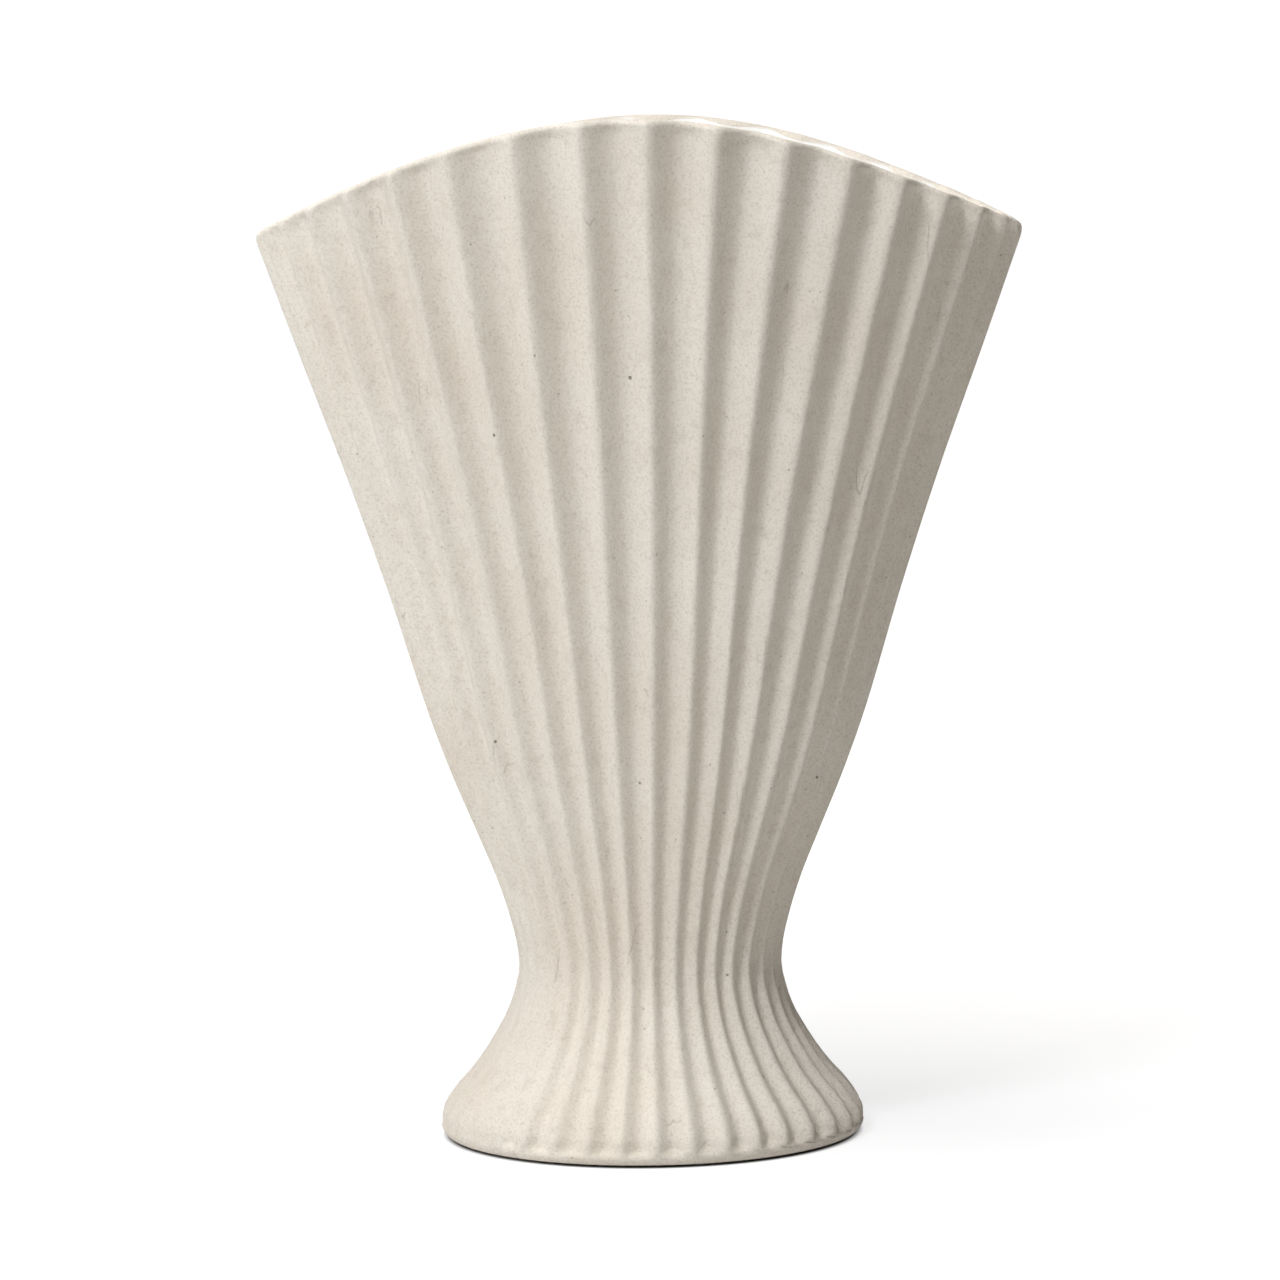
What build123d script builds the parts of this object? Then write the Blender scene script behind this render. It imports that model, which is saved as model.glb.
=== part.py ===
from build123d import *
from math import cos, hypot, pi, sin
import os

os.makedirs("parts", exist_ok=True)

# Overall sizes of the vase, in millimetres, with +Z up from the table and +X along the width
peak_height = 352.0
tip_height = 310.0
rim_width = 267.0
rim_depth = 192.0
waist_height = 59.0
waist_diameter = 91.8
foot_diameter = 147.2
contact_diameter = 142.0

# Flutes, the same number at every height, deepest at the rim
flute_count = 36
flute_depth = 4.0
valley_share = 0.2
crease_share = 0.15

# Wall over the crests of the flutes, and the rim's plain lip
wall = 7.0
lip_height = 3.4
lip_proud = 0.4
lip_radius = 2.6

# Foot: its plain band, its floor and its ring around a shallow recess
band_height = 4.4
band_proud = 0.4
band_belly_share = 0.6
floor_thickness = 8.0
ring_width = 16.0
recess_depth = 2.0

# Glaze coat inside, and the pads stuck under the foot ring
glaze_thickness = 0.6
pad_count = 4
pad_diameter = 10.0
pad_thickness = 0.8

# How far cutting tools run past what they cut
overrun = 10.0

# Silhouette above the waist: share of the climb to the rim tips, share of the spread
bowl_shares = [(0.064, 0.032), (0.131, 0.100), (0.211, 0.200), (0.522, 0.507), (1.0, 1.0)]

# Silhouette below the waist, from the foot band up: share of the drop, share of the flare
foot_shares = [(1.0, 1.0), (0.799, 0.769), (0.558, 0.410), (0.297, 0.128)]

# Worked out from the sizes above
waist_radius = waist_diameter / 2
foot_radius = foot_diameter / 2
contact_radius = contact_diameter / 2
ring_radius = contact_radius - ring_width
band_top = pad_thickness + band_height
band_top_radius = foot_radius - band_proud / 2
floor_top = pad_thickness + recess_depth + floor_thickness
rim_rise = peak_height - tip_height
arch_radius = (rim_rise**2 + (rim_width / 2) ** 2) / (2 * rim_rise)
arch_centre = peak_height - arch_radius
loft_top = peak_height + overrun

# The silhouette as rows of height and half width, from the foot band to the rim tips
drop = waist_height - band_top
flare = foot_radius - band_proud - waist_radius
climb = tip_height - waist_height
spread = rim_width / 2 - waist_radius
silhouette = [(waist_height - down * drop, waist_radius + out * flare) for down, out in foot_shares]
silhouette += [(waist_height, waist_radius)]
silhouette += [(waist_height + up * climb, waist_radius + out * spread) for up, out in bowl_shares]
bowl_level = silhouette[-2][0]


def half_width(height):
    """Half the width of the vase over its flutes, straight from row to row and beyond."""
    row = 0
    while row < len(silhouette) - 2 and silhouette[row + 1][0] < height:
        row += 1
    (low, low_width), (high, high_width) = silhouette[row], silhouette[row + 1]
    return low_width + (high_width - low_width) * (height - low) / (high - low)


peak_half_width = half_width(peak_height)
flattening = (rim_depth / 2 - waist_radius) / (peak_half_width - waist_radius)


def half_depth(height):
    """Half the depth over the flutes: round up to the waist, then an ever flatter oval."""
    width = half_width(height)
    if height > waist_height:
        return waist_radius + (width - waist_radius) * flattening
    return width


def outline_point(height, turn, inset):
    """Point on a level's oval, moved in from the crests; turn counts flutes around."""
    angle = 2 * pi * turn / flute_count
    a = half_width(height)
    b = half_depth(height)
    normal_x = cos(angle) / a
    normal_y = sin(angle) / b
    length = hypot(normal_x, normal_y)
    return Vector(
        a * cos(angle) - inset * normal_x / length,
        b * sin(angle) - inset * normal_y / length,
    )


def fluted_outline(height):
    """Outline of a level with its flutes: one round-topped curve each, creased between."""
    depth = flute_depth * half_width(height) / peak_half_width
    for flute in range(flute_count):
        start = outline_point(height, flute, depth)
        crest = outline_point(height, flute + 0.5, 0)
        end = outline_point(height, flute + 1, depth)
        crease = (crest - (start + end) / 2) * crease_share
        rising = start + (end - start) * valley_share + crease
        falling = end - (end - start) * valley_share + crease
        pull = (crest * 16 - start - rising * 4 - falling * 4 - end) / 6
        Bezier(start, rising, pull, falling, end)


def sections(bottom, inset=None):
    """Sketches from one level to above the rim: fluted, or plain where an inset is given."""
    heights = [height for height, _ in silhouette[:-1] if height > bottom]
    sketches = []
    for height in [bottom, *heights, loft_top]:
        with BuildSketch(Plane.XY.offset(height)) as level:
            if inset is None:
                with BuildLine():
                    fluted_outline(height)
                make_face()
            else:
                Ellipse(half_width(height) - inset, half_depth(height) - inset)
        sketches.append(level.sketch)
    return sketches


def above_arch(drop, mode):
    """All the space over the rim's arch, lowered by drop."""
    radius = arch_radius - drop
    reach = half_width(loft_top) + overrun
    spring = arch_centre + (radius**2 - reach**2) ** 0.5
    top = loft_top + overrun
    with BuildSketch(Plane.XZ) as region:
        with BuildLine():
            ThreePointArc((-reach, spring), (0, arch_centre + radius), (reach, spring))
            Polyline((reach, spring), (reach, top), (-reach, top), (-reach, spring))
        make_face()
    extrude(region.sketch, amount=reach, both=True, mode=mode)


# The lip: a plain band along the arch of the rim, rounded on both top edges
with BuildPart() as lip:
    loft(sections(bowl_level, -lip_proud), ruled=True)
    loft(sections(bowl_level, wall), ruled=True, mode=Mode.SUBTRACT)
    above_arch(0, Mode.SUBTRACT)
    above_arch(lip_height, Mode.INTERSECT)
    fillet(lip.faces().sort_by(Axis.Z)[-1].edges(), lip_radius)

# The foot band: a plain rounded edge all round, below the ends of the flutes
with BuildPart() as foot_band:
    with BuildSketch(Plane.XZ):
        with BuildLine():
            ThreePointArc(
                (contact_radius, pad_thickness),
                (foot_radius, pad_thickness + band_height * band_belly_share),
                (band_top_radius, band_top),
            )
            Polyline(
                (band_top_radius, band_top),
                (0, band_top),
                (0, pad_thickness),
                (contact_radius, pad_thickness),
            )
        make_face()
    revolve(axis=Axis.Z)

# The stoneware body: bowl, waist and foot in one piece of fired clay
with BuildPart() as stoneware_body:
    loft(sections(band_top), ruled=True)
    above_arch(lip_height, Mode.SUBTRACT)
    add(foot_band.part)
    loft(sections(floor_top, wall), ruled=True, mode=Mode.SUBTRACT)
    add(lip.part)
    with BuildSketch(Plane.XY.offset(pad_thickness)):
        Circle(ring_radius)
    extrude(amount=recess_depth, mode=Mode.SUBTRACT)
stoneware_body.part.label = "stoneware_body"
export_step(stoneware_body.part, "parts/stoneware_body.step")

# The inner face of the glaze, which starts one coat above the floor
with BuildPart() as water_space:
    loft(sections(floor_top, wall + glaze_thickness), ruled=True)
    split(bisect_by=Plane.XY.offset(floor_top + glaze_thickness), keep=Keep.TOP)

# The glaze coat: waterproof glass over the whole inside, up to the lip
with BuildPart() as interior_glaze:
    loft(sections(floor_top, wall), ruled=True)
    above_arch(lip_height, Mode.SUBTRACT)
    add(water_space.part, mode=Mode.SUBTRACT)
interior_glaze.part.label = "interior_glaze"
export_step(interior_glaze.part, "parts/interior_glaze.step")

# The pads: soft discs under the foot ring, which keep the bare clay off the table
with BuildPart() as foot_pads:
    with BuildSketch():
        with PolarLocations(contact_radius - ring_width / 2, pad_count, start_angle=45):
            Circle(pad_diameter / 2)
    extrude(amount=pad_thickness)
foot_pads.part.label = "foot_pads"
export_step(foot_pads.part, "parts/foot_pads.step")
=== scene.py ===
import math

import bpy
import numpy as np
from mathutils import Matrix, Vector


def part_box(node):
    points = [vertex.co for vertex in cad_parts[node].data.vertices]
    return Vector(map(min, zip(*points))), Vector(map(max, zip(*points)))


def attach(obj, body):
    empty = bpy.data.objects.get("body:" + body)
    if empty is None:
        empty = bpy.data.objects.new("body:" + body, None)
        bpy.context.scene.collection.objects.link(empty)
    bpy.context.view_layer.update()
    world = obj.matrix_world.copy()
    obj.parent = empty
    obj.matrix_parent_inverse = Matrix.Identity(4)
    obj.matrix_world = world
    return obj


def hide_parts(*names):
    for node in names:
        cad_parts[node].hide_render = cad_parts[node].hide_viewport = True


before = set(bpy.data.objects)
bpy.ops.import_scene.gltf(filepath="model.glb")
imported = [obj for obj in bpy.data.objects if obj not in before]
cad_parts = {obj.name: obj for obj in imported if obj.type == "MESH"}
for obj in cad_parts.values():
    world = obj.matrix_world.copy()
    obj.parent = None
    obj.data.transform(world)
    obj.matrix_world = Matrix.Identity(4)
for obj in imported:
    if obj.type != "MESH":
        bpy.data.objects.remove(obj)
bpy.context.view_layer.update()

mm = 0.001

# Sizes read from the frame
body_low, body_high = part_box("stoneware_body")
glaze_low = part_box("interior_glaze")[0]
foot_bottom = body_low[2]
peak_height = body_high[2]
rim_half_depth = body_high[1]
floor_top = glaze_low[2]

# Heights and widths that the boxes don't give, over the crests of the flutes
tip_height = 314.5 * mm
tip_half_width = 132.9 * mm
waist_height = 59.2 * mm
waist_radius = 45.7 * mm
foot_radius = 73.5 * mm
contact_radius = 70.8 * mm
edge_height = 3.6 * mm

# Rim seen from the front: 0 makes it a circular arch and 1 a bell
arch_bend = 1.1

# Flutes: crest to valley at the rim, outside and inside
flute_count = 36
flute_depth = 6.4 * mm
inner_depth = 2.8 * mm

# Section of a flute: softness of its crest at the foot and the rim, the share of the height
# that this change takes, and the share of a plain wave in the section
foot_softness = 0.50
rim_softness = 0.22
softening_share = 0.6
wave_share = 0.5

# Ends of the flutes: shares of their depth that are left at the lip, the share of the lip's
# radius that keeps this, and how far they take to run out
lip_share = 0.75
inner_lip_share = 0.7
lip_plain_share = 0.6
rim_run_out = 1.0 * mm
inner_run_out = 2.0 * mm
foot_run_out = 4.5 * mm
foot_plain = 1.5 * mm

# Where the flutes are worn soft, the left of the foot, and the shares that are worn in full
worn_angle = math.radians(198)
worn_reach = math.radians(42)
worn_reach_share = 0.5
worn_top = 95 * mm
worn_top_share = 0.6
worn_depth_share = 0.8

# Wall, floor and foot ring
wall = 6.2 * mm
floor_curve = 7.0 * mm
ring_width = 16 * mm
recess_depth = 2 * mm

# Lip, and how much taller its round is at the tips of the rim and where that starts
lip_radius = 2.5 * mm
tip_rounding = 1.2
tip_start = 0.97

# Glaze: its coat, how far it starts below the rim, and how it thins out there
glaze_thickness = 0.5 * mm
glaze_start = 0.5 * mm
glaze_scallop = 1.7 * mm
glaze_thinning = 2 * mm
glaze_edge = 0.2 * mm

# Hand-made unevenness, made of a few slow waves
swell = 0.25 * mm
sway = math.radians(0.55)
turned = math.radians(-1.2)
crowded = math.radians(-3.6)
depth_change = 0.10
softness_change = 0.3
wave_count = 6
least_climbs = 0.2

# Columns and rows of the meshes, how the rows crowd towards the lip, and tries for the rim
columns = flute_count * 16
wall_rows = 76
end_rows = 9
end_share = 0.03
edge_rows = 8
lip_rows = 11
inner_rows = 44
inner_crowding = 1.2
glaze_crowding = 1.5
rim_tries = 12
angles = 2 * math.pi * np.arange(columns) / columns

# Rings of the underside and of the floor inside, as shares of their radius, depth or width
recess_shares = (0.1, 0.4, 0.7, 0.98)
recess_wall_shares = (0.2, 0.8)
ring_shares = (0.03, 0.5, 0.95)
floor_shares = (0.7, 0.4, 0.1)

# Silhouette above the waist: share of the climb to the rim tips, share of the spread. The rows
# of both silhouettes are rounded from a least-squares fit to the photo's outline.
bowl_shares = [
    (0.0, 0.0), (0.027, 0.007), (0.063, 0.031), (0.114, 0.078), (0.177, 0.153), (0.259, 0.253),
    (0.342, 0.342), (0.507, 0.491), (0.672, 0.653), (0.829, 0.821), (1.0, 1.0), (1.2, 1.21),
]

# Silhouette below the waist: share of the drop to the foot's edge, share of the flare
foot_shares = [
    (0.0, 0.0), (0.166, 0.063), (0.312, 0.168), (0.44, 0.307), (0.568, 0.466), (0.678, 0.631),
    (0.778, 0.811), (0.861, 0.927), (0.934, 0.995), (1.0, 1.0),
]

# Colours of the clay and its marks, the glaze, the pads and the floor
clay = (0.80, 0.732, 0.630)
clay_pale = (0.85, 0.795, 0.703)
clay_smudge = (0.66, 0.595, 0.505)
clay_pore = (0.52, 0.455, 0.37)
clay_dust = (0.88, 0.85, 0.79)
clay_mark = (0.19, 0.15, 0.11)
glaze_thick = (0.87, 0.86, 0.82)
glaze_thin = (0.93, 0.925, 0.90)
rubber_dark = (0.010, 0.009, 0.008)
rubber_light = (0.020, 0.018, 0.016)
floor_dull = (0.80, 0.80, 0.80)
floor_bright = (0.82, 0.82, 0.82)
floor_seen = (0.30, 0.30, 0.30)
white = (1, 1, 1)

# Sizes of what is on the clay
cloud_size = 60 * mm
smudge_size = 7 * mm
ripple_size = 3.5 * mm
grain_size = 0.9 * mm
speck_spacing = 4 * mm
speck_radius = 0.4 * mm
pit_spacing = 15 * mm
pit_radius = 0.7 * mm
speck_core_share = 0.6
hairline_size = 12 * mm
hairline_patch = 18 * mm
hairline_stretch = (1, 1, 0.15)
clay_relief = 0.28 * mm

# How strongly the clay's marks show, and how deep they and its ripples are beside its grain
speck_strength = 0.6
hairline_strength = 0.35
mark_strength = 0.8
mark_depth = 1.5
ripple_depth = 1.6

# Sizes of what is on the glaze, the pads and the floor
pool_size = 25 * mm
glaze_ripple_size = 6 * mm
glaze_relief = 0.1 * mm
rubber_grain_size = 0.3 * mm
rubber_relief = 0.05 * mm
floor_cloud_size = 0.5

# Floor: half its width, and the light of its own that it shows: none under the foot, which is painted
# shade in the gap, then a rise away from the vase that evens the lamps' falloff and is painted light over
# the far end of the shadow, full from the end of that rise outwards
floor_reach = 6
floor_glow = 0.78
full_glow = 1.02
painted_light_rise_start = 0.12
painted_light_rise_end = 0.75

# World: how strongly it lights, how strong it is where it is seen, and its colour as light
world_strength = 0.04
seen_strength = 1.05
world_colour = (1.0, 0.88, 0.74)

# Lamps: how far they stand from the middle of the vase, and the colours of their light
lamp_distance = 3.1
daylight = (0.98, 1, 1.05)
warm_light = (1, 0.97, 0.93)
amber_light = (1, 0.89, 0.76)

# Camera, from the same fit: its place, its roll and aim, and its lens for the photo's width
camera_distance = 2.0097
camera_height = 0.36795
camera_azimuth = math.radians(2.68)
camera_roll = math.radians(-0.908)
camera_aim = (-0.00182, -0.00009, 0.1717)
focal_pixels = 5836.5
photo_pixels = 1280
film_width = 36
clip_start = 0.1
clip_end = 100


# The form of the vase

def follow(shares, place):
    """Smooth curve through the rows of a table, which never swings past a row."""
    x, y = np.array(shares).T
    step = np.diff(x)
    rise = np.diff(y) / step
    lean = np.zeros_like(y)
    lean[1:-1] = 2 * rise[:-1] * rise[1:] / (rise[:-1] + rise[1:])
    lean[-1] = rise[-1]
    row = np.clip(np.searchsorted(x, place) - 1, 0, len(x) - 2)
    t = (place - x[row]) / step[row]
    ease = t**2 * (3 - 2 * t)
    bend = lean[row] * t * (1 - t) ** 2 - lean[row + 1] * t**2 * (1 - t)
    return y[row] + (y[row + 1] - y[row]) * ease + step[row] * bend


def half_width(height):
    """Half the width over the flutes at each height."""
    up = (height - waist_height) / (tip_height - waist_height)
    down = (waist_height - height) / (waist_height - foot_bottom - edge_height)
    bowl = (tip_half_width - waist_radius) * follow(bowl_shares, np.clip(up, 0, bowl_shares[-1][0]))
    foot = (foot_radius - waist_radius) * follow(foot_shares, np.clip(down, 0, 1))
    return waist_radius + np.where(height > waist_height, bowl, foot)


peak_half_width = half_width(np.array(peak_height))
flattening = (rim_half_depth - waist_radius) / (peak_half_width - waist_radius)


def half_depth(height):
    """Half the depth over the flutes: round up to the waist, then an ever flatter oval."""
    width = half_width(height)
    oval = waist_radius + (width - waist_radius) * flattening
    return np.where(height > waist_height, oval, width)


def smooth(value, low, high):
    """0 below low, 1 above high and an eased step between."""
    t = np.clip((value - low) / (high - low), 0, 1)
    return t**2 * (3 - 2 * t)


def waves(angle, height, seed, most_turns, most_climbs):
    """Sum of slow waves round and up the vase, about -1 to 1, the same in every run."""
    rng = np.random.default_rng(seed)
    total = 0
    for _ in range(wave_count):
        turns = rng.integers(1, most_turns + 1)
        climbs = rng.uniform(least_climbs, most_climbs) * height / peak_height
        total = total + np.sin(turns * angle + 2 * math.pi * (climbs + rng.uniform()))
    return 2 * total / wave_count


def placed(angle, height):
    """Where each angle really lies: turned, crowded to the front and swaying a little."""
    swaying = sway * waves(angle, height, seed=11, most_turns=9, most_climbs=1.2)
    return angle + turned + crowded * np.cos(angle) + swaying


def wall_point(angle, height, inset):
    """Points on the oval at each height, moved in along its normal."""
    angle = placed(angle, height)
    a = half_width(height)
    b = half_depth(height)
    normal_x = np.cos(angle) / a
    normal_y = np.sin(angle) / b
    length = np.hypot(normal_x, normal_y)
    x = a * np.cos(angle) - inset * normal_x / length
    y = b * np.sin(angle) - inset * normal_y / length
    return np.stack(np.broadcast_arrays(x, y, height), axis=-1)


def valley(angle, height):
    """1 in the valleys between the flutes and 0 on their crests, which are the sharper."""
    turn = flute_count * angle / (2 * math.pi)
    sharpened = smooth(height, 0, softening_share * peak_height)
    softness = foot_softness + (rim_softness - foot_softness) * sharpened
    unevenness = waves(angle, height, seed=17, most_turns=15, most_climbs=1.5)
    softness = softness * (1 + softness_change * unevenness)
    across = np.cos(math.pi * turn)
    ridge = (np.hypot(across, softness) - softness) / (np.hypot(1, softness) - softness)
    return (1 - wave_share) * ridge + wave_share * across**2


def worn(angle, height):
    """1 where the flutes are worn soft and 0 elsewhere."""
    off = np.abs((angle - worn_angle + math.pi) % (2 * math.pi) - math.pi)
    beside = smooth(off, worn_reach_share * worn_reach, worn_reach)
    above = smooth(height, worn_top_share * worn_top, worn_top)
    return (1 - beside) * (1 - above)


def outside(angle, height, top):
    """How far the outside lies in from the oval over the crests."""
    size = half_width(height) / peak_half_width
    unevenness = waves(angle, height, seed=23, most_turns=17, most_climbs=1.0)
    size = size * (1 + depth_change * unevenness)
    run_out = smooth(height, foot_bottom + foot_plain, foot_bottom + foot_plain + foot_run_out)
    below_lip = smooth(top - height, lip_plain_share * lip_radius, lip_radius + rim_run_out)
    run_out = run_out * (lip_share + (1 - lip_share) * below_lip)
    run_out = run_out * (1 - worn_depth_share * worn(angle, height))
    return flute_depth * size * valley(angle, height) * run_out


def inside(angle, height, top):
    """How far the inside lies in from the oval, with the softer backs of the flutes."""
    size = half_width(height) / peak_half_width
    below_lip = smooth(top - height, 0, lip_radius + inner_run_out)
    run_out = inner_lip_share + (1 - inner_lip_share) * below_lip
    corner = np.clip(1 - (height - floor_top) / floor_curve, 0, 1)
    rounding = floor_curve * (1 - np.sqrt(1 - corner**2))
    flutes = inner_depth * size * valley(angle, height) * run_out
    return wall + flutes * (1 - corner) + rounding


# The rim and its lip

rim_rise = peak_height - tip_height
arch_radius = (rim_rise**2 + tip_half_width**2) / (2 * rim_rise)
arch_centre = peak_height - arch_radius


def rim_height(angle):
    """Height where the fluted wall at each angle meets the rim, bell-shaped from the front."""
    height = np.full_like(angle, tip_height)
    for _ in range(rim_tries):
        size = half_width(height) / peak_half_width
        inset = flute_depth * size * lip_share * valley(angle, height)
        x = wall_point(angle, height, inset)[:, 0]
        circle = arch_centre + np.sqrt(arch_radius**2 - x**2)
        share = np.clip(np.abs(x) / tip_half_width, 0, 1)
        bell = tip_height + rim_rise * np.cos(math.pi / 2 * share)
        height = circle + arch_bend * (bell - circle)
    return height


rim = rim_height(angles)
slope = np.gradient(rim, angles) / np.hypot(
    tip_half_width * np.sin(angles), rim_half_depth * np.cos(angles)
)
near_tip = smooth(np.abs(np.cos(placed(angles, rim))), tip_start, 1)
lip_rise = lip_radius * (np.hypot(1, slope) + tip_rounding * near_tip)
shoulder = rim - lip_rise


# Rings of points and the meshes through them

def flat_ring(radius, height):
    """A level ring round the axis."""
    level = np.full_like(angles, height)
    return np.stack([radius * np.cos(angles), radius * np.sin(angles), level], axis=-1)


def wall_ring(height, inset):
    """A ring of the wall, with its slow hand-made swells."""
    ring = wall_point(angles, height, inset)
    unevenness = waves(angles, height, seed=31, most_turns=7, most_climbs=2.0)
    ring[:, :2] *= (1 + swell * unevenness / waist_radius)[:, None]
    return ring


def underside_rings():
    """Rings from the middle of the underside out over the foot ring and up the foot's edge."""
    ring_radius = contact_radius - ring_width
    recess = foot_bottom + recess_depth
    rings = [flat_ring(ring_radius * share, recess) for share in recess_shares]
    rings += [flat_ring(ring_radius, recess - recess_depth * share) for share in recess_wall_shares]
    rings += [flat_ring(ring_radius + ring_width * share, foot_bottom) for share in ring_shares]
    for turn in np.linspace(0, math.pi / 2, edge_rows)[:-1]:
        radius = contact_radius + (foot_radius - contact_radius) * math.sin(turn)
        rings.append(flat_ring(radius, foot_bottom + edge_height * (1 - math.cos(turn))))
    return rings


def body_rings():
    """Rings from the middle of the underside out, up the wall, over the lip and down inside."""
    rings = underside_rings()
    low = foot_bottom + edge_height
    climb = np.concatenate([
        np.linspace(0, end_share, end_rows),
        np.linspace(end_share, 1 - end_share, wall_rows)[1:-1],
        np.linspace(1 - end_share, 1, end_rows),
    ])
    for share in climb:
        height = low + (shoulder - low) * share
        rings.append(wall_ring(height, outside(angles, height, rim)))
    for turn in np.linspace(0, math.pi, lip_rows)[1:-1]:
        height = shoulder + lip_rise * math.sin(turn)
        outer = outside(angles, height, rim)
        inner = inside(angles, height, rim)
        mix = (1 - math.cos(turn)) / 2
        rings.append(wall_ring(height, outer + (inner - outer) * mix))
    for share in np.linspace(0, 1, inner_rows) ** inner_crowding:
        height = shoulder + (floor_top - shoulder) * share
        rings.append(wall_ring(height, inside(angles, height, rim)))
    rings += [rings[-1] * [share, share, 1] for share in floor_shares]
    return rings


def over_lip(height):
    """How far in the inner face lies at each height, up over the inner half of the lip."""
    up = np.clip((height - shoulder) / lip_rise, 0, 1)
    outer = outside(angles, height, rim)
    inner = inside(angles, height, rim)
    return outer + (inner - outer) * (1 + np.sqrt(1 - up**2)) / 2


def glaze_rings():
    """Rings round the glaze's skin: up its back, which lies in the clay, and down its face."""
    start = rim - glaze_start - glaze_scallop * valley(angles, rim)
    back, face = [], []
    for share in np.linspace(0, 1, inner_rows) ** glaze_crowding:
        height = start + (floor_top - start) * share
        inset = over_lip(height)
        coat = glaze_thickness * smooth(start - height, -glaze_edge, glaze_thinning)
        lift = glaze_thickness * smooth(floor_top + floor_curve - height, 0, floor_curve)
        back.append(wall_ring(height, inset - glaze_thickness / 2))
        face.append(wall_ring(height + lift, inset + coat))
    return back[::-1] + face


def mesh_piece(name, rings):
    """Piece through rings of points, from the first to the last, with a cap at both ends."""
    grid = np.stack(rings)
    column = np.arange(columns)
    ahead = (column + 1) % columns
    faces = []
    for row in range(len(grid) - 1):
        low, high = row * columns, (row + 1) * columns
        faces += np.stack([low + column, low + ahead, high + ahead, high + column], 1).tolist()
    points = np.concatenate([grid.reshape(-1, 3), [grid[0].mean(axis=0)], [grid[-1].mean(axis=0)]])
    first, last = len(points) - 2, len(points) - 1
    top = (len(grid) - 1) * columns
    faces += np.stack([ahead, column, np.full(columns, first)], 1).tolist()
    faces += np.stack([top + column, top + ahead, np.full(columns, last)], 1).tolist()
    mesh = bpy.data.meshes.new(name)
    mesh.from_pydata(points.tolist(), [], faces)
    mesh.shade_smooth()
    mesh.update()
    piece = bpy.data.objects.new(name, mesh)
    bpy.context.scene.collection.objects.link(piece)
    return piece


# Nodes that the materials share

def new_material(name):
    """Material with its node tree and its Principled shader."""
    material = bpy.data.materials.new(name)
    material.use_nodes = True
    return material, material.node_tree, material.node_tree.nodes["Principled BSDF"]


def add_node(tree, kind, **settings):
    """Node of a kind, with its properties set by name and its sockets by label."""
    node = tree.nodes.new(kind)
    for key, value in settings.items():
        if hasattr(node, key):
            setattr(node, key, value)
        else:
            node.inputs[key.replace("_", " ").title()].default_value = value
    return node


def object_place(tree):
    """Place of each point on the object, in metres."""
    return add_node(tree, "ShaderNodeTexCoord").outputs["Object"]


def noise(tree, place, size, detail=2.0, roughness=0.5):
    """Noise whose features are about size across, in metres."""
    node = add_node(tree, "ShaderNodeTexNoise", scale=1 / size, detail=detail, roughness=roughness)
    tree.links.new(place, node.inputs["Vector"])
    return node.outputs["Fac"]


def ramp(tree, value, low, high, first=0.0, last=1.0):
    """Value mapped from low..high to first..last, held at both ends."""
    node = add_node(tree, "ShaderNodeMapRange", from_min=low, from_max=high, to_min=first, to_max=last)
    tree.links.new(value, node.inputs["Value"])
    return node.outputs["Result"]


def blend_colour(tree, factor, first, second):
    """Colour between two, each a colour or another node's output."""
    node = add_node(tree, "ShaderNodeMix", data_type="RGBA")
    tree.links.new(factor, node.inputs[0])
    for socket, colour in zip((node.inputs[6], node.inputs[7]), (first, second)):
        if isinstance(colour, bpy.types.NodeSocket):
            tree.links.new(colour, socket)
        else:
            socket.default_value = (*colour, 1)
    return node.outputs[2]


def combine(tree, operation, *values):
    """Result of an operation on values, each a number or another node's output."""
    node = add_node(tree, "ShaderNodeMath", operation=operation)
    for socket, value in zip(node.inputs, values):
        if isinstance(value, bpy.types.NodeSocket):
            tree.links.new(value, socket)
        else:
            socket.default_value = value
    return node.outputs[0]


def bump(tree, shader, height, distance):
    """Bump of that height in metres under everything the shader has."""
    node = add_node(tree, "ShaderNodeBump", distance=distance)
    tree.links.new(height, node.inputs["Height"])
    tree.links.new(node.outputs["Normal"], shader.inputs["Normal"])


def seen_directly(tree):
    """1 for what the camera sees straight, in a mirror or through glass, 0 for lighting."""
    rays = add_node(tree, "ShaderNodeLightPath")
    mirrored = combine(tree, "MAXIMUM", rays.outputs["Is Glossy Ray"], rays.outputs["Is Transmission Ray"])
    return combine(tree, "MAXIMUM", rays.outputs["Is Camera Ray"], mirrored)


# Stoneware

def specks(tree, place, spacing, size, few):
    """1 in scattered round specks: their spacing and radius in metres, and how few are kept."""
    spots = add_node(tree, "ShaderNodeTexVoronoi", scale=1 / spacing)
    tree.links.new(place, spots.inputs["Vector"])
    edge = size / spacing
    core = speck_core_share * edge
    dot = ramp(tree, spots.outputs["Distance"], low=core, high=edge, first=1.0, last=0.0)
    split = add_node(tree, "ShaderNodeSeparateColor")
    tree.links.new(spots.outputs["Color"], split.inputs[0])
    return combine(tree, "MULTIPLY", dot, ramp(tree, split.outputs[0], low=few, high=few + 0.2))


def hairlines(tree, place):
    """1 along fine, mostly upright lines where a slow noise crosses its middle, in few places."""
    tall = add_node(tree, "ShaderNodeMapping", scale=hairline_stretch)
    tree.links.new(place, tall.inputs["Vector"])
    off_middle = combine(tree, "SUBTRACT", noise(tree, tall.outputs["Vector"], hairline_size), 0.5)
    line = ramp(tree, combine(tree, "ABSOLUTE", off_middle), low=0.001, high=0.006, first=1.0, last=0.0)
    patch = ramp(tree, noise(tree, place, hairline_patch), low=0.63, high=0.68)
    return combine(tree, "MULTIPLY", line, patch)


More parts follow.
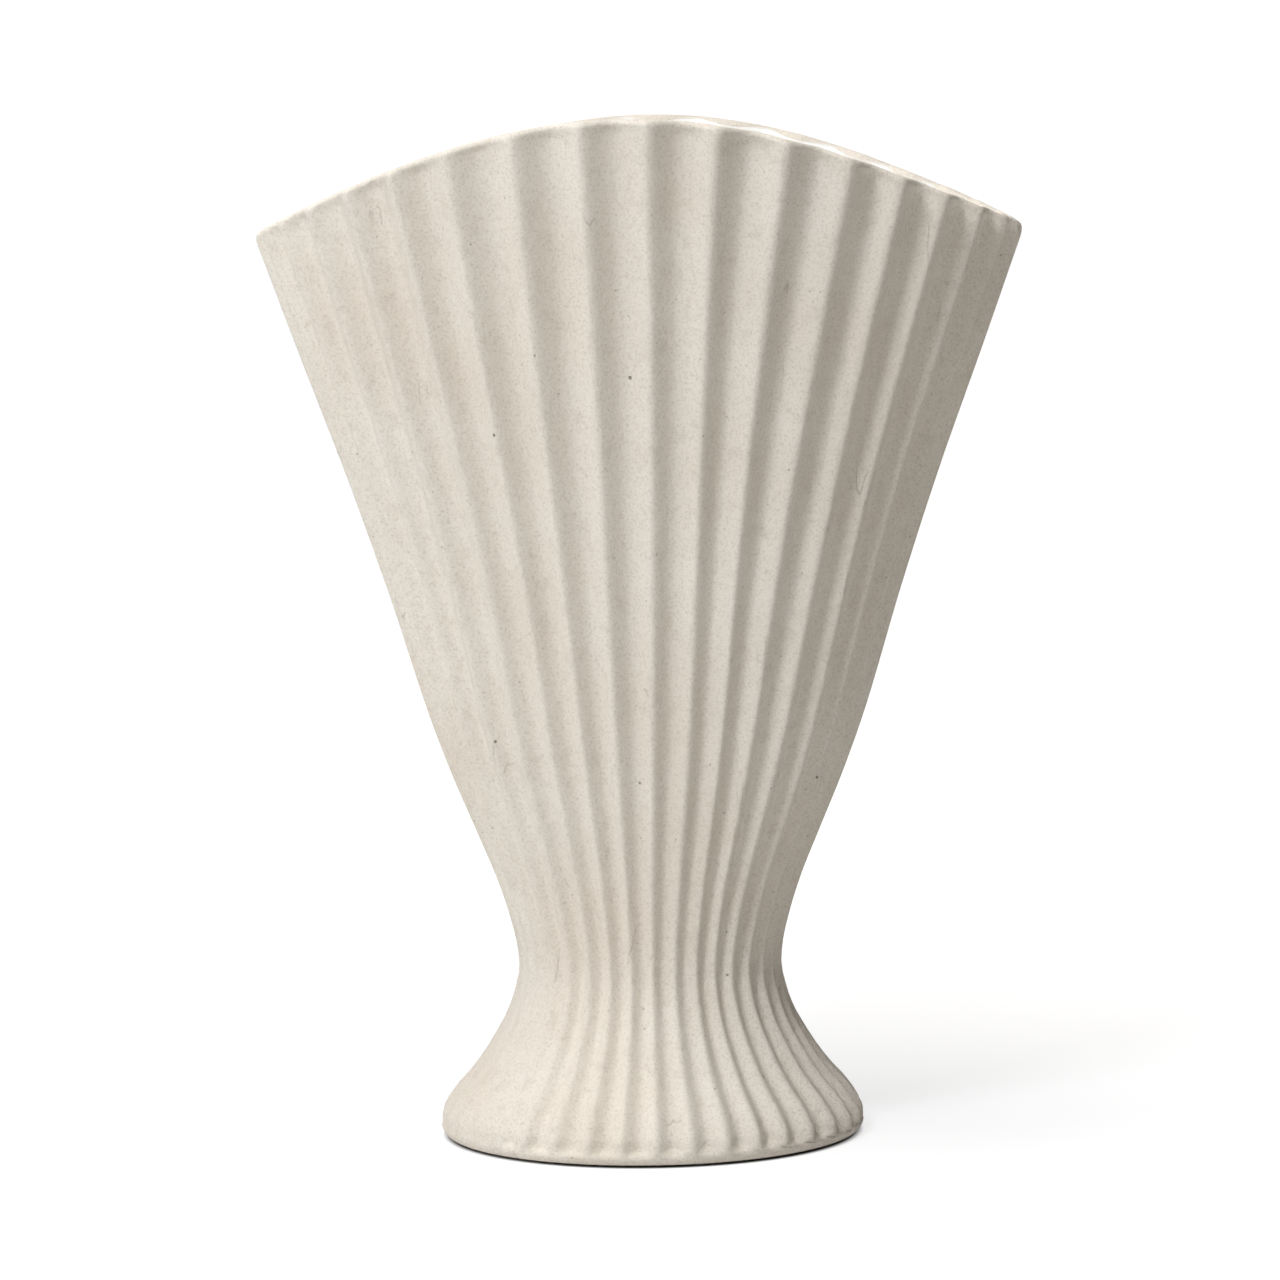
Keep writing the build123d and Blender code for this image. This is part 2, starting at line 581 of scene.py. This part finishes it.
def clay_marks(tree, place):
    """1 in the pinholes, less in the fine specks and least along the hairlines."""
    fine = specks(tree, place, speck_spacing, speck_radius, few=0.72)
    pits = specks(tree, place, pit_spacing, pit_radius, few=0.5)
    dots = combine(tree, "MAXIMUM", combine(tree, "MULTIPLY", fine, speck_strength), pits)
    lines = combine(tree, "MULTIPLY", hairlines(tree, place), hairline_strength)
    return combine(tree, "MAXIMUM", dots, lines)


def stoneware_material():
    """Dry off-white clay: fine grain, cloudy tone, dark specks, pinholes and a few hairlines."""
    material, tree, shader = new_material("stoneware")
    place = object_place(tree)
    grain = noise(tree, place, grain_size, detail=3, roughness=0.7)
    marks = clay_marks(tree, place)
    cloud = ramp(tree, noise(tree, place, cloud_size, detail=3), low=0.35, high=0.65)
    smudge = noise(tree, place, smudge_size, detail=3, roughness=0.6)
    smudge = ramp(tree, smudge, low=0.45, high=0.3, first=0.0, last=0.35)
    pore = ramp(tree, grain, low=0.28, high=0.5, first=0.55, last=0.0)
    dust = ramp(tree, grain, low=0.55, high=0.75, first=0.0, last=0.45)
    colour = blend_colour(tree, cloud, clay, clay_pale)
    colour = blend_colour(tree, smudge, colour, clay_smudge)
    colour = blend_colour(tree, pore, colour, clay_pore)
    colour = blend_colour(tree, dust, colour, clay_dust)
    colour = blend_colour(tree, combine(tree, "MULTIPLY", marks, mark_strength), colour, clay_mark)
    tree.links.new(colour, shader.inputs["Base Color"])
    dryness = ramp(tree, grain, low=0.3, high=0.7, first=0.92, last=0.78)
    tree.links.new(dryness, shader.inputs["Roughness"])
    shader.inputs["Specular IOR Level"].default_value = 0.25
    relief = combine(tree, "SUBTRACT", grain, combine(tree, "MULTIPLY", marks, mark_depth))
    ripples = combine(tree, "MULTIPLY", noise(tree, place, ripple_size), ripple_depth)
    bump(tree, shader, combine(tree, "ADD", relief, ripples), clay_relief)
    return material


# Glaze, pads and floor

def glaze_material():
    """Gloss white glaze, a little cloudy and pooled."""
    material, tree, shader = new_material("glaze")
    place = object_place(tree)
    pools = noise(tree, place, pool_size, detail=3)
    colour = blend_colour(tree, ramp(tree, pools, low=0.35, high=0.65), glaze_thick, glaze_thin)
    tree.links.new(colour, shader.inputs["Base Color"])
    gloss = ramp(tree, pools, low=0.3, high=0.7, first=0.12, last=0.2)
    tree.links.new(gloss, shader.inputs["Roughness"])
    bump(tree, shader, noise(tree, place, glaze_ripple_size), glaze_relief)
    return material


def pad_material():
    """Soft dark pad rubber with a fine grain."""
    material, tree, shader = new_material("pads")
    grain = noise(tree, object_place(tree), rubber_grain_size, detail=3)
    tree.links.new(blend_colour(tree, grain, rubber_dark, rubber_light), shader.inputs["Base Color"])
    dullness = ramp(tree, grain, low=0.3, high=0.7, first=0.75, last=0.9)
    tree.links.new(dullness, shader.inputs["Roughness"])
    bump(tree, shader, grain, rubber_relief)
    return material


def floor_material():
    """White floor that shows only the shadow: its own light is added where it is seen. It is left out
    under the foot, which is painted shade in the gap, and it grows away from the vase, which evens the
    lamps' falloff and is painted light over the far end of the shadow.
    """
    material, tree, shader = new_material("floor")
    place = object_place(tree)
    seen = seen_directly(tree)
    lighting = blend_colour(tree, noise(tree, place, floor_cloud_size), floor_dull, floor_bright)
    tree.links.new(blend_colour(tree, seen, lighting, floor_seen), shader.inputs["Base Color"])
    shader.inputs["Roughness"].default_value = 0.9
    shader.inputs["Specular IOR Level"].default_value = 0.0
    shader.inputs["Emission Color"].default_value = (*white, 1)
    reach = add_node(tree, "ShaderNodeVectorMath", operation="LENGTH")
    tree.links.new(place, reach.inputs[0])
    reach = reach.outputs["Value"]
    # Painted shade: no light of its own inside the foot's edge, so the gap under the foot shows dark.
    near = ramp(tree, reach, low=contact_radius, high=foot_radius, first=0.0, last=floor_glow)
    # Partly painted light: the floor's own light grows away from the vase, evening the lamps' falloff and
    # painting out the far end of the shadow.
    far = ramp(tree, reach, low=painted_light_rise_start, high=painted_light_rise_end, first=0.0, last=full_glow - floor_glow)
    glow = combine(tree, "MULTIPLY", seen, combine(tree, "ADD", near, far))
    tree.links.new(glow, shader.inputs["Emission Strength"])
    return material


# Floor, world, lamps and camera

def add_floor():
    """Wide floor under the pads."""
    corners = [(-1, -1, 0), (1, -1, 0), (1, 1, 0), (-1, 1, 0)]
    points = [Vector(corner) * floor_reach for corner in corners]
    mesh = bpy.data.meshes.new("floor")
    mesh.from_pydata(points, [], [(0, 1, 2, 3)])
    floor = bpy.data.objects.new("floor", mesh)
    bpy.context.scene.collection.objects.link(floor)
    floor.data.materials.append(floor_material())


def add_world():
    """World that looks white and lights softly."""
    world = bpy.data.worlds.new("studio")
    bpy.context.scene.world = world
    world.use_nodes = True
    tree = world.node_tree
    shader = tree.nodes["Background"]
    seen = seen_directly(tree)
    tree.links.new(blend_colour(tree, seen, world_colour, white), shader.inputs["Color"])
    added = combine(tree, "MULTIPLY", seen, seen_strength - world_strength)
    tree.links.new(combine(tree, "ADD", added, world_strength), shader.inputs["Strength"])


def add_area(name, azimuth, elevation, size, power, colour):
    """Square area lamp that faces the vase, in degrees round from the front and up."""
    azimuth, elevation = math.radians(azimuth), math.radians(elevation)
    level = math.cos(elevation)
    aim = Vector((math.sin(azimuth) * level, -math.cos(azimuth) * level, math.sin(elevation)))
    lamp = bpy.data.lights.new(name, "AREA")
    lamp.shape = "SQUARE"
    lamp.size = size
    lamp.energy = power
    lamp.color = colour
    piece = bpy.data.objects.new(name, lamp)
    piece.location = Vector((0, 0, peak_height / 2)) + lamp_distance * aim
    piece.rotation_euler = aim.to_track_quat("Z", "Y").to_euler()
    bpy.context.scene.collection.objects.link(piece)


def add_camera():
    """Camera that looks at a point near the axis, from the front and a little from the right."""
    camera = bpy.data.cameras.new("camera")
    camera.sensor_width = film_width
    camera.lens = film_width * focal_pixels / photo_pixels
    camera.clip_start = clip_start
    camera.clip_end = clip_end
    piece = bpy.data.objects.new("camera", camera)
    place = Vector((
        camera_distance * math.sin(camera_azimuth),
        -camera_distance * math.cos(camera_azimuth),
        camera_height,
    ))
    turn = (Vector(camera_aim) - place).to_track_quat("-Z", "Y").to_matrix().to_4x4()
    piece.matrix_world = Matrix.Translation(place) @ turn @ Matrix.Rotation(camera_roll, 4, "Z")
    bpy.context.scene.collection.objects.link(piece)
    bpy.context.scene.camera = piece


# The pieces

body = mesh_piece("vase_body", body_rings())
body.data.materials.append(stoneware_material())
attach(body, "root")
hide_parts("stoneware_body")

glaze = mesh_piece("vase_glaze", glaze_rings())
glaze.data.materials.append(glaze_material())
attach(glaze, "root")
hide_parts("interior_glaze")

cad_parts["foot_pads"].material_slots[0].material = pad_material()

# The scene
add_floor()
add_world()
add_area("key", azimuth=-28, elevation=43, size=0.8, power=51, colour=daylight)
add_area("side", azimuth=-80, elevation=15, size=2.0, power=18, colour=daylight)
add_area("top", azimuth=-50, elevation=78, size=2.0, power=55, colour=warm_light)
add_area("fill", azimuth=55, elevation=10, size=1.8, power=2, colour=amber_light)
add_camera()
bpy.context.scene.view_settings.view_transform = "Standard"
